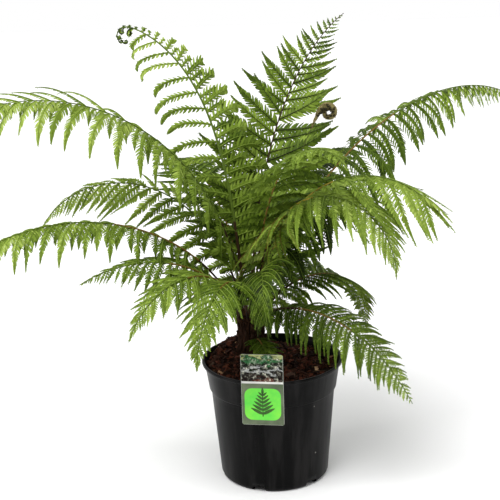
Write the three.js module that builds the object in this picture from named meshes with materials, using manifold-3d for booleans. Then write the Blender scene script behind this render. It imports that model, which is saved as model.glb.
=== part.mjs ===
// A young tree fern in a round black nursery pot, with a plain card label clipped over the rim.
// Millimetres, +Z up. The origin is the middle of the pot's flat underside, and -Y is the front.
import * as THREE from "three";
import { mergeVertices } from "three/addons/utils/BufferGeometryUtils.js";
import Module from "manifold-3d";

const wasm = await Module();
wasm.setup();

const GAP = 0.3; // clearance between neighbouring pieces
const LEAFLET_CLEARANCE = 0.6; // a leaflet keeps this far from every other frond

const POT = {
  height: 196,
  wall: 2,
  floor: 3,
  baseRadius: 87,
  cornerRadius: 8,
  shoulderRadius: 99, // the wall just under the rim band
  bandHeight: 48,
  bandFootRadius: 102,
  bandTopRadius: 108,
  lipRadius: 112.5,
  lipHeight: 6,
  lipWidth: 3.5,
  sides: 36,
  notchCount: 6, // drain notches round the foot
  notchWidth: 20,
  notchHeight: 6,
  notchDepth: 18,
  firstNotch: -109, // degrees from +X
};

const SOIL = {
  edgeLevel: 177, // height where the compost meets the pot's wall
  moundHeight: 24,
  moundSpread: 46,
  rings: [0.84, 0.64, 0.44, 0.22], // shares of the edge radius
};

const TRUNK = {
  x: -31,
  y: 15,
  foot: 197, // height of the flat cut on the compost
  height: 78,
  flareRadius: 28,
  waistRadius: 19,
  crownRadius: 21,
  lean: 0.02, // sideways shift to the left for each millimetre of height
  sides: 14,
};

const LABEL = {
  width: 65,
  height: 115,
  thickness: 1,
  aboveRim: 47,
  turn: -9, // degrees round the rim from the front
  tongueWidth: 24,
  tongueDrop: 12,
};

const RIB = {
  baseRadius: 2.4,
  tipRadius: 0.8,
  sides: 4,
  stepLength: 34,
  samples: 160, // points along the worked-out curve
};

const LEAFLET = {
  thickness: 1.5, // at the root
  widthShare: 0.75, // of the spacing between two leaflets on one side
  rootWidth: 0.55, // share of the full width at the rib
  bellyAt: 0.38, // share of the length where the leaflet is widest
  leanAtFoot: 80, // degrees from the rib
  leanAtTip: 42,
  crowding: 1.2, // how much closer the leaflets stand towards the frond's tip
  reach: 0.97, // share of the rib that bears leaflets
  trials: [1, 0.8, 0.62, 0.45], // shorter lengths tried where another frond is in the way
  shortest: 7,
};

// Where the ribs leave the trunk: distance from its axis, and depth below its top.
const WHORLS = {
  inner: { radius: 7, depth: 8 },
  middle: { radius: 12, depth: 12 },
  outer: { radius: 17, depth: 20 },
  foot: { radius: 14, depth: 50 },
};

// One row for each frond. azimuth is its direction in plan, in degrees from +X towards +Y. rise and fall are
// the pitch of its rib at the crown and at the tip, bend says how late it arches over, and sweep how far it
// turns sideways. stalk is the bare share of the rib, width the longest leaflet, pairs the leaflet pairs, and
// droop how far they hang. splits divide the frond into separate pieces, and curl coils the last share up.
const USUAL = { whorl: "outer", sweep: 0, stalk: 0.2, splits: [0.5], curl: 0, curlShare: 0.13, girth: 1 };
const FRONDS = [
  {
    name: "curled_left", whorl: "inner", azimuth: 150, length: 580, rise: 84, fall: -20, bend: 3, sweep: 5,
    width: 120, pairs: 9, droop: 0.45, curl: 300,
  },
  {
    name: "tall_back", whorl: "inner", azimuth: 62, length: 580, rise: 88, fall: 16, bend: 1.1, sweep: -7,
    width: 100, pairs: 10, droop: 0.12,
  },
  {
    name: "long_left", whorl: "middle", azimuth: 190, length: 600, rise: 87, fall: -19, bend: 1.3,
    width: 72, pairs: 10, droop: 0.95, splits: [0.35, 0.68],
  },
  {
    name: "low_left", azimuth: 196, length: 472, rise: 75, fall: -27, bend: 0.9, sweep: -4,
    width: 60, pairs: 9, droop: 0.95,
  },
  {
    name: "left_back", whorl: "middle", azimuth: 160, length: 464, rise: 79, fall: -61, bend: 1.5, sweep: 29,
    width: 80, pairs: 8, droop: 0.55,
  },
  {
    name: "left_low", azimuth: 216, length: 322, rise: 74, fall: -30, bend: 0.95, sweep: -26,
    width: 60, pairs: 7, droop: 0.7,
  },
  {
    name: "left_front", azimuth: 236, length: 323, rise: 73, fall: -68, bend: 1.15, sweep: -20,
    width: 66, pairs: 7, droop: 0.6,
  },
  {
    name: "front_left", azimuth: 257, length: 326, rise: 75, fall: -88, bend: 1.15, sweep: -14,
    width: 80, pairs: 7, droop: 0.55,
  },
  {
    name: "front_small", azimuth: 288, length: 238, rise: 75, fall: -93, bend: 1.9, sweep: -23,
    width: 55, pairs: 6, droop: 0.7,
  },
  {
    name: "long_right", whorl: "middle", azimuth: 15, length: 700, rise: 70, fall: -31, bend: 1.3, sweep: 29,
    width: 75, pairs: 10, droop: 0.8, splits: [0.4, 0.72],
  },
  {
    name: "front_right", whorl: "middle", azimuth: 312, length: 478, rise: 83, fall: -95, bend: 1.7, sweep: 9,
    width: 100, pairs: 9, droop: 0.6, splits: [0.36, 0.66],
  },
  {
    name: "right_arch", whorl: "middle", azimuth: 343, length: 502, rise: 83, fall: -60, bend: 1.5, sweep: -25,
    width: 85, pairs: 8, droop: 0.8,
  },
  {
    name: "right_low_back", azimuth: 14, length: 308, rise: 64, fall: -95, bend: 0.95, sweep: 40,
    width: 58, pairs: 7, droop: 0.6,
  },
  {
    name: "right_low", azimuth: 328, length: 325, rise: 64, fall: -57, bend: 0.5, sweep: -6,
    width: 64, pairs: 7, droop: 0.75,
  },
  {
    name: "soil_small", whorl: "foot", azimuth: 288, length: 80, rise: 35, fall: -65, bend: 1,
    width: 30, pairs: 4, droop: 0.3, splits: [],
  },
  {
    name: "upper_front", whorl: "inner", azimuth: 300, length: 457, rise: 77, fall: -41, bend: 2.6, sweep: 3,
    width: 65, pairs: 7, droop: 0.5,
  },
  {
    name: "back_left", whorl: "middle", azimuth: 114, length: 430, rise: 74, fall: -25, bend: 1.2,
    width: 80, pairs: 7, droop: 0.5,
  },
  {
    name: "back_right", azimuth: 82, length: 430, rise: 62, fall: -40, bend: 1.1,
    width: 78, pairs: 7, droop: 0.6,
  },
  {
    name: "right_back", whorl: "middle", azimuth: 50, length: 440, rise: 80, fall: -35, bend: 1.4,
    width: 76, pairs: 7, droop: 0.6,
  },
  {
    name: "crozier", whorl: "inner", azimuth: 28, length: 422, rise: 76, fall: 60, bend: 1, sweep: -22,
    width: 0, pairs: 0, droop: 0, curl: 500, curlShare: 0.23, girth: 0.9, splits: [0.55],
  },
];

const MATERIALS = {
  pot: new THREE.MeshStandardMaterial({ color: 0x17181a, roughness: 0.38, metalness: 0 }),
  soil: new THREE.MeshStandardMaterial({ color: 0x2a130c, roughness: 0.95, metalness: 0 }),
  trunk: new THREE.MeshStandardMaterial({ color: 0x2b1a10, roughness: 0.9, metalness: 0 }),
  label: new THREE.MeshStandardMaterial({ color: 0x7fe45c, roughness: 0.35, metalness: 0 }),
  frond: new THREE.MeshStandardMaterial({ color: 0x4f8a24, roughness: 0.55, metalness: 0 }),
  crozier: new THREE.MeshStandardMaterial({ color: 0x6f6a3a, roughness: 0.75, metalness: 0 }),
};

const DOWN = new THREE.Vector3(0, 0, -1);
const radians = THREE.MathUtils.degToRad;
const lerp = THREE.MathUtils.lerp;

// Solids and meshes

function solidOf(geometry) {
  const bare = geometry.clone();
  bare.deleteAttribute("normal");
  bare.deleteAttribute("uv");
  const merged = mergeVertices(bare, 1e-4);
  return new wasm.Manifold(
    new wasm.Mesh({
      numProp: 3,
      vertProperties: new Float32Array(merged.attributes.position.array),
      triVerts: new Uint32Array(merged.index.array),
    }),
  );
}

function meshOf(name, solid, material) {
  const { vertProperties, triVerts } = solid.getMesh();
  const geometry = new THREE.BufferGeometry();
  geometry.setAttribute("position", new THREE.BufferAttribute(vertProperties, 3));
  geometry.setIndex(new THREE.BufferAttribute(triVerts, 1));
  geometry.computeVertexNormals();
  const mesh = new THREE.Mesh(geometry, material);
  mesh.name = name;
  return mesh;
}

// The pieces as one body, with any pocket shut between them filled.
function joined(pieces) {
  const bodies = wasm.Manifold.union(pieces).decompose();
  return bodies.reduce((biggest, body) => (body.volume() > biggest.volume() ? body : biggest));
}

// A profile of [radius, height] points turned about +Z.
function turned(points, sides) {
  const profile = points.map(([radius, height]) => new THREE.Vector2(radius, height));
  return new THREE.LatheGeometry(profile, sides).rotateX(Math.PI / 2);
}

function cornerArc(radius, height, size, steps) {
  const points = [];
  for (let i = 0; i <= steps; i++) {
    const angle = (-Math.PI / 2) * (1 - i / steps);
    points.push([radius - size + size * Math.cos(angle), height + size + size * Math.sin(angle)]);
  }
  return points;
}

function forEachVertex(geometry, move) {
  const position = geometry.attributes.position;
  const vertex = new THREE.Vector3();
  for (let i = 0; i < position.count; i++) {
    move(vertex.fromBufferAttribute(position, i));
    position.setXYZ(i, vertex.x, vertex.y, vertex.z);
  }
  return geometry;
}

// Pot

// The radius of the pot's inside at a height between its corner and its lip.
function innerRadius(height) {
  const bandFoot = POT.height - POT.bandHeight;
  if (height > bandFoot) {
    const share = (height - bandFoot) / (POT.bandHeight - POT.lipHeight);
    return lerp(POT.bandFootRadius, POT.bandTopRadius, share) - POT.wall;
  }
  const share = (height - POT.cornerRadius) / (bandFoot - POT.cornerRadius);
  return lerp(POT.baseRadius, POT.shoulderRadius, share) - POT.wall;
}

function makePot() {
  const bandFoot = POT.height - POT.bandHeight;
  const lipFoot = POT.height - POT.lipHeight;
  const profile = [
    [0, 0],
    ...cornerArc(POT.baseRadius, 0, POT.cornerRadius, 3),
    [POT.shoulderRadius, bandFoot],
    [POT.bandFootRadius, bandFoot + 2],
    [POT.bandTopRadius, lipFoot],
    [POT.lipRadius, lipFoot + 1.5],
    [POT.lipRadius, POT.height - 1],
    [POT.lipRadius - 1, POT.height],
    [POT.lipRadius - POT.lipWidth, POT.height],
    [POT.bandTopRadius - POT.wall, lipFoot],
    [POT.bandFootRadius - POT.wall, bandFoot + 2],
    [POT.shoulderRadius - POT.wall, bandFoot],
    [POT.baseRadius - POT.wall, POT.cornerRadius],
    [POT.baseRadius - POT.cornerRadius, POT.floor],
    [0, POT.floor],
  ];
  let pot = solidOf(turned(profile, POT.sides));
  for (let i = 0; i < POT.notchCount; i++) {
    const notch = new THREE.BoxGeometry(2 * POT.notchDepth, POT.notchWidth, 2 * POT.notchHeight);
    notch.translate(POT.baseRadius, 0, 0);
    notch.rotateZ(radians(POT.firstNotch + (360 / POT.notchCount) * i));
    pot = pot.subtract(solidOf(notch));
  }
  return pot;
}

// Compost, heaped up to the trunk

function moundAt(x, y) {
  const away = Math.hypot(x - TRUNK.x, y - TRUNK.y);
  return SOIL.moundHeight * Math.exp(-0.5 * (away / SOIL.moundSpread) ** 2);
}

function makeSoil() {
  const floor = POT.floor + GAP;
  const edgeRadius = innerRadius(SOIL.edgeLevel) - 2 * GAP;
  const profile = [
    [0, floor],
    [POT.baseRadius - POT.cornerRadius - 1, floor],
    [innerRadius(POT.cornerRadius) - 2 * GAP, POT.cornerRadius + 1],
    [innerRadius(POT.height - POT.bandHeight) - 2 * GAP, POT.height - POT.bandHeight + 2],
    [edgeRadius, SOIL.edgeLevel],
    ...SOIL.rings.map((share) => [edgeRadius * share, SOIL.edgeLevel]),
    [0, SOIL.edgeLevel],
  ];
  const heap = forEachVertex(turned(profile, POT.sides), (v) => {
    if (v.z > SOIL.edgeLevel - GAP) v.z += moundAt(v.x, v.y);
  });
  const seat = new THREE.CylinderGeometry(1, 1, 2 * SOIL.moundHeight, TRUNK.sides);
  const seatRadius = TRUNK.flareRadius + 2 * GAP;
  seat.scale(seatRadius, 1, seatRadius).rotateX(Math.PI / 2);
  seat.translate(TRUNK.x, TRUNK.y, TRUNK.foot - GAP + SOIL.moundHeight);
  return solidOf(heap).subtract(solidOf(seat));
}

// Trunk: a short flared stem with a rounded crown

function makeTrunk(swell) {
  const { height, flareRadius, waistRadius, crownRadius } = TRUNK;
  const profile = [
    [0, 0],
    [flareRadius, 0],
    [flareRadius - 3, 5],
    [waistRadius + 2, 15],
    [waistRadius, 28],
    [crownRadius, height - 20],
    [crownRadius * 0.94, height - 12],
    [crownRadius * 0.7, height - 5],
    [crownRadius * 0.35, height - 1],
    [0, height],
  ].map(([radius, z]) => [radius > 0 ? radius + swell : 0, z > 0 ? z + swell : z - swell]);
  const stem = forEachVertex(turned(profile, TRUNK.sides), (v) => {
    v.x -= TRUNK.lean * v.z;
  });
  return solidOf(stem.translate(TRUNK.x, TRUNK.y, TRUNK.foot));
}

// Label: a flat card whose tongue hooks over the pot's lip

function makeLabel() {
  const { width, height, thickness, aboveRim, tongueWidth, tongueDrop } = LABEL;
  const cardBack = POT.lipRadius + GAP;
  const wallRadius = innerRadius(POT.height - tongueDrop) * Math.cos(Math.PI / POT.sides) - 2 * GAP;
  const tongueFront = Math.sqrt(wallRadius ** 2 - (tongueWidth / 2) ** 2);
  const card = new THREE.BoxGeometry(thickness, width, height);
  card.translate(cardBack + thickness / 2, 0, POT.height + aboveRim - height / 2);
  const bridgeFoot = POT.height + GAP;
  const bridge = new THREE.BoxGeometry(cardBack - tongueFront + 2 * thickness, tongueWidth, thickness);
  bridge.translate((cardBack + tongueFront) / 2, 0, bridgeFoot + thickness / 2);
  const tongue = new THREE.BoxGeometry(thickness, tongueWidth, tongueDrop);
  tongue.translate(tongueFront - thickness / 2, 0, bridgeFoot + thickness - tongueDrop / 2);
  const turn = radians(LABEL.turn - 90);
  const [front, ...rest] = [card, bridge, tongue].map((piece) => solidOf(piece.rotateZ(turn)));
  return rest.reduce((whole, piece) => whole.add(piece), front);
}

// Fronds

// The rib's course: points, and at each the rib's own directions along, side and normal.
function ribCourse(frond) {
  const step = frond.length / RIB.samples;
  const { radius, depth } = WHORLS[frond.whorl];
  const start = radians(frond.azimuth);
  const at = new THREE.Vector3(radius * Math.cos(start), radius * Math.sin(start), -depth);
  at.add(new THREE.Vector3(TRUNK.x - TRUNK.lean * TRUNK.height, TRUNK.y, TRUNK.foot + TRUNK.height));
  const course = [];
  for (let i = 0; i <= RIB.samples; i++) {
    const share = i / RIB.samples;
    const curled = Math.max(0, (share - 1 + frond.curlShare) / frond.curlShare);
    const pitch = radians(lerp(frond.rise, frond.fall, share ** frond.bend) - frond.curl * curled ** 2);
    const plan = radians(frond.azimuth + frond.sweep * share);
    const outward = new THREE.Vector3(Math.cos(plan), Math.sin(plan), 0);
    const along = outward.clone().multiplyScalar(Math.cos(pitch)).setZ(Math.sin(pitch));
    const normal = outward.clone().multiplyScalar(-Math.sin(pitch)).setZ(Math.cos(pitch));
    course.push({ point: at.clone(), along, normal, side: along.clone().cross(normal) });
    at.addScaledVector(along, step);
  }
  return course;
}

function onCourse(course, share) {
  const place = THREE.MathUtils.clamp(share, 0, 1) * (course.length - 1);
  const i = Math.min(Math.floor(place), course.length - 2);
  const mix = (key) => course[i][key].clone().lerp(course[i + 1][key], place - i);
  return {
    point: mix("point"),
    along: mix("along").normalize(),
    side: mix("side").normalize(),
    normal: mix("normal").normalize(),
  };
}

function ribRadius(frond, share) {
  return frond.girth * lerp(RIB.baseRadius, RIB.tipRadius, share ** 0.8);
}

// A stretch of rib from one share of its length to another: a cylinder bent along the course.
function ribStretch(frond, course, from, to) {
  const curlSteps = to > 1 - frond.curlShare && frond.curl ? 14 : 0;
  const steps = Math.max(3, Math.round(((to - from) * frond.length) / RIB.stepLength)) + curlSteps;
  const tube = new THREE.CylinderGeometry(1, 1, 1, RIB.sides, steps);
  return forEachVertex(tube, (v) => {
    const share = lerp(from, to, v.y + 0.5);
    const here = onCourse(course, share);
    const radius = ribRadius(frond, share);
    v.copy(here.point.addScaledVector(here.side, v.x * radius).addScaledVector(here.normal, v.z * radius));
  });
}

// How long a leaflet is, as a share of the frond's longest, at t from the blade's foot to its tip.
function leafletShare(t) {
  return Math.sin(Math.PI * (0.14 + 0.86 * t) ** 0.85);
}

// A leaflet leaves the rib sideways and bends towards the ground: a three-sided cone bent along that line.
function leafletBlade(frond, course, t, hand, width, length) {
  const share = lerp(frond.stalk, LEAFLET.reach, t);
  const root = onCourse(course, share);
  const lean = radians(lerp(LEAFLET.leanAtFoot, LEAFLET.leanAtTip, t));
  const outward = root.along.clone().multiplyScalar(Math.cos(lean));
  outward.addScaledVector(root.side, hand * Math.sin(lean));
  const across = outward.clone().cross(root.normal);
  const steps = 12;
  const headingAt = (step) => {
    const hang = frond.droop * (0.35 + (0.65 * step) / steps);
    return outward.clone().multiplyScalar(1 - hang).addScaledVector(DOWN, hang).normalize();
  };
  const path = [root.point];
  for (let i = 1; i <= steps; i++) {
    path.push(path[i - 1].clone().addScaledVector(headingAt(i), length / steps));
  }
  // The whole blade takes the belly's turn, so that its two faces never cross.
  const turn = new THREE.Quaternion().setFromUnitVectors(outward, headingAt(LEAFLET.bellyAt * steps));
  const blade = new THREE.ConeGeometry(1, 1, 3, 2);
  return forEachVertex(blade, (v) => {
    const drawn = v.y + 0.5;
    const u = drawn < 1 ? drawn * 2 * LEAFLET.bellyAt : 1;
    const point = path[Math.round(u * steps)];
    const fullness = u === 0 ? LEAFLET.rootWidth : 1;
    const shrink = u < 1 ? 1 / (1 - drawn) : 0;
    const flat = (v.x * shrink * width * fullness) / 2;
    const deep = (v.z * shrink * LEAFLET.thickness * (1 - u)) / 2;
    const offset = across.clone().multiplyScalar(flat).addScaledVector(root.normal, deep);
    v.copy(point).add(offset.applyQuaternion(turn));
  });
}

function apart(a, b, distance) {
  return [0, 1, 2].some((k) => a.min[k] > b.max[k] + distance || b.min[k] > a.max[k] + distance);
}

// Every solid placed so far, so that a new leaflet can keep clear of the other pieces.
const placed = [];

function place(owner, solid) {
  placed.push({ owner, solid, box: solid.boundingBox() });
}

function isClear(owner, solid) {
  const box = solid.boundingBox();
  return placed.every(
    (other) =>
      other.owner === owner ||
      apart(box, other.box, LEAFLET_CLEARANCE) ||
      solid.minGap(other.solid, LEAFLET_CLEARANCE) >= LEAFLET_CLEARANCE,
  );
}

const SECTION_NAMES = { 1: [""], 2: ["_base", "_tip"], 3: ["_base", "_middle", "_tip"] };

// The frond's sections with their ribs, the first one trimmed where it meets the crown.
function startFrond(frond, crown) {
  const course = ribCourse(frond);
  const ends = [0, ...frond.splits, 1];
  const halfGap = GAP / 2 / frond.length;
  const names = SECTION_NAMES[ends.length - 1];
  const sections = names.map((suffix, i) => {
    const from = ends[i] + (i > 0 ? halfGap : 0);
    const to = ends[i + 1] - (i < names.length - 1 ? halfGap : 0);
    const name = `frond_${frond.name}${suffix}`;
    let rib = solidOf(ribStretch(frond, course, from, to));
    if (i === 0) rib = rib.subtract(crown);
    place(name, rib);
    return { name, from, to, pieces: [rib] };
  });
  return { frond, course, sections };
}

function addLeaflets({ frond, course, sections }) {
  for (let i = 0; i < frond.pairs; i++) {
    const t = 1 - (1 - (i + 0.5) / frond.pairs) ** LEAFLET.crowding;
    const share = lerp(frond.stalk, LEAFLET.reach, t);
    const section = sections.find((s) => share < s.to) ?? sections.at(-1);
    const bladeLength = (LEAFLET.reach - frond.stalk) * frond.length;
    const spacing = (LEAFLET.crowding * bladeLength * (1 - t) ** 0.17) / frond.pairs;
    for (const hand of [-1, 1]) {
      for (const trial of LEAFLET.trials) {
        const length = frond.width * leafletShare(t) * trial;
        if (length < LEAFLET.shortest) break;
        const width = Math.min(spacing * LEAFLET.widthShare, length * 0.45);
        const blade = solidOf(leafletBlade(frond, course, t, hand, width, length));
        if (!isClear(section.name, blade)) continue;
        place(section.name, blade);
        section.pieces.push(blade);
        break;
      }
    }
  }
}

// The whole plant

const plant = new THREE.Group();
const trunk = makeTrunk(0);
const soil = makeSoil();
const pot = makePot();
const label = makeLabel();
plant.add(meshOf("pot", pot, MATERIALS.pot));
plant.add(meshOf("soil", soil, MATERIALS.soil));
plant.add(meshOf("trunk", trunk, MATERIALS.trunk));
plant.add(meshOf("label", label, MATERIALS.label));
place("pot", pot);
place("soil", soil);
place("trunk", trunk);
place("label", label);

const crown = makeTrunk(GAP);
const fronds = FRONDS.map((row) => startFrond({ ...USUAL, ...row }, crown));
for (const started of fronds) {
  addLeaflets(started);
  const material = started.frond.pairs ? MATERIALS.frond : MATERIALS.crozier;
  for (const { name, pieces } of started.sections) {
    plant.add(meshOf(name, joined(pieces), material));
  }
}

export default plant;
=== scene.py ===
import math

import bmesh
import bpy
import numpy as np
from mathutils import Matrix, Vector, noise


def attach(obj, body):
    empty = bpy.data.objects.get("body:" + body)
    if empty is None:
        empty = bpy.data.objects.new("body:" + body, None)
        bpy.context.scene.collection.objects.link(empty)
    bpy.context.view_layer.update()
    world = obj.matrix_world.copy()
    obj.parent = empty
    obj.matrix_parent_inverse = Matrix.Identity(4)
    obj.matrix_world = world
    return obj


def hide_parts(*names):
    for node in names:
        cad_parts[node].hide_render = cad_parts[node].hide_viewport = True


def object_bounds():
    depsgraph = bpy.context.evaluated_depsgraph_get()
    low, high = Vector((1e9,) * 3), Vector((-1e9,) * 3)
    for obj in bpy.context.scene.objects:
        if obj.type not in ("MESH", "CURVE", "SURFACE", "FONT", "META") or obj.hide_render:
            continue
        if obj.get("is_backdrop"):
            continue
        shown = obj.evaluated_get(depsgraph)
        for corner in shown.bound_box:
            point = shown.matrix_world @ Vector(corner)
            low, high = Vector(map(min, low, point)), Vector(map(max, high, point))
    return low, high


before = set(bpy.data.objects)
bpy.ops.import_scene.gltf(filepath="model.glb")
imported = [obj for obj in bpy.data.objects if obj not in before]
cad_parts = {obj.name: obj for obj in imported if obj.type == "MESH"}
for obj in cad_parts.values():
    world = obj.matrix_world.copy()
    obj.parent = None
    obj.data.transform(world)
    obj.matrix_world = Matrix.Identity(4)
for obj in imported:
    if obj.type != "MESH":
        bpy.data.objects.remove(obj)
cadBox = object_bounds()
mm = 0.001  # sizes below are in millimetres
down = np.array([0.0, 0.0, -1.0])
print("frame loaded:", len(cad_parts), "nodes")


# small helpers

def tint(red, green, blue):
    # a screen colour, 0 to 255, as the linear colour that a shader takes
    parts = [v / 255 for v in (red, green, blue)]
    return tuple(v / 12.92 if v < 0.04 else ((v + 0.055) / 1.055) ** 2.4 for v in parts) + (1,)


def unit(vectors):
    return vectors / np.maximum(np.linalg.norm(vectors, axis=-1, keepdims=True), 1e-12)


def between(pair, share):
    return pair[0] + (pair[1] - pair[0]) * share


def turnPair(first, second, angle):
    # turns two directions together in their own plane
    return np.cos(angle) * first + np.sin(angle) * second, np.cos(angle) * second - np.sin(angle) * first


def turnOnto(vectors, start, end):
    # carries vectors by the shortest turn from one unit direction to another
    axis = np.cross(start, end)
    share = 1 / (1 + (start * end).sum(-1, keepdims=True))
    once = np.cross(axis, vectors)
    return vectors + once + share * np.cross(axis, once)


def addToScene(name, data):
    thing = bpy.data.objects.new(name, data)
    bpy.context.scene.collection.objects.link(thing)
    return thing


def addPiece(name, mesh, materials, smooth=True):
    piece = addToScene(name, mesh)
    for material in materials:
        mesh.materials.append(material)
    mesh.polygons.foreach_set("use_smooth", [smooth] * len(mesh.polygons))
    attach(piece, "root")
    return piece


def addGrown(name, points, faces, slots, materials, smooth=True):
    # a piece from arrays, with the material slot of each face
    mesh = bpy.data.meshes.new(name)
    mesh.from_pydata(points, [], faces)
    mesh.polygons.foreach_set("material_index", slots)
    return addPiece(name, mesh, materials, smooth)


def cleaned(bm):
    bmesh.ops.remove_doubles(bm, verts=bm.verts, dist=0.01 * mm)
    bmesh.ops.recalc_face_normals(bm, faces=bm.faces)
    return bm


def meshFrom(name, bm):
    mesh = bpy.data.meshes.new(name)
    bm.to_mesh(mesh)
    bm.free()
    return mesh


def bevelEdges(bm, edges, offset, segments, clamp=False):
    bmesh.ops.bevel(bm, geom=edges, offset=offset * mm, offset_type="OFFSET", affect="EDGES",
                    segments=segments, profile=0.5, material=-1, clamp_overlap=clamp)


def turnedProfile(profile, steps, cuts):
    # draws the profile (radius, height) as a wire, cuts some of its edges finer and spins it round Z
    bm = bmesh.new()
    verts = [bm.verts.new((r * mm, 0, z * mm)) for r, z in profile]
    edges = [bm.edges.new(pair) for pair in zip(verts, verts[1:])]
    for index, count in cuts.items():
        bmesh.ops.subdivide_edges(bm, edges=[edges[index]], cuts=count)
    wire = list(bm.verts) + list(bm.edges)
    bmesh.ops.spin(bm, geom=wire, cent=(0, 0, 0), axis=(0, 0, 1), angle=math.tau, steps=steps, use_merge=True)
    return cleaned(bm)


def sweepTubes(paths, radii, sides):
    # closed tubes along many paths of the same number of stations, with an untwisted frame
    strands, stations = paths.shape[:2]
    along = unit(np.gradient(paths, axis=1))
    least = np.eye(3)[np.argmin(np.abs(along[:, 0]), axis=1)]
    side = unit(np.cross(along[:, 0], least))
    angles = np.arange(sides) * math.tau / sides
    rings = np.empty((strands, stations, sides, 3))
    for k in range(stations):
        side = unit(side - (side * along[:, k]).sum(1, keepdims=True) * along[:, k])
        over = np.cross(along[:, k], side)
        spokes = np.cos(angles)[:, None] * side[:, None] + np.sin(angles)[:, None] * over[:, None]
        rings[:, k] = paths[:, k, None] + radii[:, k, None, None] * spokes
    ids = np.arange(strands * stations * sides).reshape(strands, stations, sides)
    nextId = np.roll(ids, -1, axis=2)
    walls = np.stack([ids[:, :-1], nextId[:, :-1], nextId[:, 1:], ids[:, 1:]], -1).reshape(-1, 4)
    caps = np.concatenate([ids[:, 0, ::-1], ids[:, -1]])
    return rings.reshape(-1, 3), walls.tolist() + caps.tolist()


def addTubes(name, paths, radii, sides, materials):
    points, faces = sweepTubes(paths, radii, sides)
    addGrown(name, points, faces, np.zeros(len(faces), int), materials)


def joinMeshes(points, faces, morePoints, moreFaces):
    return np.vstack([points, morePoints]), faces + [[k + len(points) for k in face] for face in moreFaces]


# shader nodes

def setSockets(tree, node, sockets):
    # each socket takes a value, or a link from another node
    for key, value in sockets.items():
        if isinstance(value, bpy.types.NodeSocket):
            tree.links.new(value, node.inputs[key])
        else:
            node.inputs[key].default_value = value


def addNode(tree, kind, sockets, **settings):
    # gives back the new node's outputs
    node = tree.nodes.new("ShaderNode" + kind)
    for name, value in settings.items():
        setattr(node, name, value)
    setSockets(tree, node, sockets)
    return node.outputs


def makeUnevenGroup():
    # an uneven value over the surface, plain and as a range
    group = bpy.data.node_groups.new("unevenness", "ShaderNodeTree")
    for name in ("Scale", "Stretch", "Low", "High"):
        group.interface.new_socket(name, in_out="INPUT", socket_type="NodeSocketFloat")
    for name in ("Value", "Range"):
        group.interface.new_socket(name, in_out="OUTPUT", socket_type="NodeSocketFloat")
    given = group.nodes.new("NodeGroupInput").outputs
    place = addNode(group, "TexCoord", {})
    scale = addNode(group, "CombineXYZ", {"X": 1, "Y": 1, "Z": given["Stretch"]})
    mapped = addNode(group, "Mapping", {"Vector": place["Object"], "Scale": scale["Vector"]})
    cloud = addNode(group, "TexNoise", {
        "Vector": mapped["Vector"], "Scale": given["Scale"], "Detail": 5, "Roughness": 0.6})
    spread = addNode(group, "MapRange", {"Value": cloud["Fac"], "From Min": 0.3, "From Max": 0.7})["Result"]
    ranged = addNode(group, "MapRange", {"Value": spread, "To Min": given["Low"], "To Max": given["High"]})
    setSockets(group, group.nodes.new("NodeGroupOutput"), {"Value": spread, "Range": ranged["Result"]})
    return group


unevenGroup = makeUnevenGroup()


def addUneven(tree, scale, stretch=1, low=0.4, high=0.6):
    sockets = {"Scale": scale, "Stretch": stretch, "Low": low, "High": high}
    return addNode(tree, "Group", sockets, node_tree=unevenGroup)


def addBump(tree, height, strength, distance):
    sockets = {"Height": height, "Strength": strength, "Distance": distance * mm}
    return addNode(tree, "Bump", sockets)["Normal"]


def mixColours(tree, factor, first, second):
    return addNode(tree, "Mix", {0: factor, 6: first, 7: second}, data_type="RGBA")[2]


def startMaterial(name, colour, specular):
    material = bpy.data.materials.new(name)
    material.use_nodes = True
    tree = material.node_tree
    shader = tree.nodes["Principled BSDF"]
    setSockets(tree, shader, {"Base Color": tint(*colour), "Specular IOR Level": specular})
    return material, tree, shader


def grownMaterial(name, colour, rough, scale, bump, specular=0.2):
    # one plain tone, with uneven gloss and a fine relief
    material, tree, shader = startMaterial(name, colour, specular)
    uneven = addUneven(tree, scale, 1, *rough)
    normal = addBump(tree, uneven["Value"], 0.35, bump)
    setSockets(tree, shader, {"Roughness": uneven["Range"], "Normal": normal})
    return material


def mottledMaterial(name, first, second, rough, scale, bump, stretch=1):
    # two tones in uneven patches, for woody, earthy and printed surfaces
    material, tree, shader = startMaterial(name, first, specular=0.08)
    patch = addUneven(tree, scale, stretch, *rough)
    fine = addUneven(tree, scale * 3.5, stretch)
    setSockets(tree, shader, {
        "Base Color": mixColours(tree, patch["Value"], tint(*first), tint(*second)),
        "Roughness": patch["Range"],
        "Normal": addBump(tree, fine["Value"], 0.6, bump),
    })
    return material


# camera and studio

view = {
    "at": (-0.030, -2.000, 0.964),
    "pitch": 16.4,  # looking down
    "roll": -1.8,
    "focal": 1333,  # in pixels of an image 500 across
    "image": 500,
    "sensor": 36,
}


def makeCamera():
    lens = bpy.data.cameras.new("camera")
    lens.sensor_width = view["sensor"]
    lens.lens = view["focal"] * view["sensor"] / view["image"]
    camera = addToScene("camera", lens)
    tilt = Matrix.Rotation(math.radians(90 - view["pitch"]), 4, "X")
    roll = Matrix.Rotation(math.radians(view["roll"]), 4, "Z")
    camera.matrix_world = Matrix.Translation(view["at"]) @ tilt @ roll
    bpy.context.scene.camera = camera


studio = {
    "floorReach": 6,  # metres
    "floorColour": (246, 246, 246),
    "floorGloss": (0.65, 0.8),
    "white": (1, 1, 1, 1),
    "sky": (0.28, 0.75),  # light from all round: in front, and behind the plant
    "skyFall": (-1, 0.4),
    "key": ((-0.5, -0.6, 1.3), 2.8, 45),  # where it comes from, strength, softness in degrees
    "strips": {  # place, size in metres, power
        "left": ((-1.5, -0.5, 0.6), (0.25, 1.2), 5),
        "right": ((1.5, -0.2, 0.6), (0.35, 1.2), 7),
    },
    "aim": (0, 0, 0.1),
}


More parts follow.
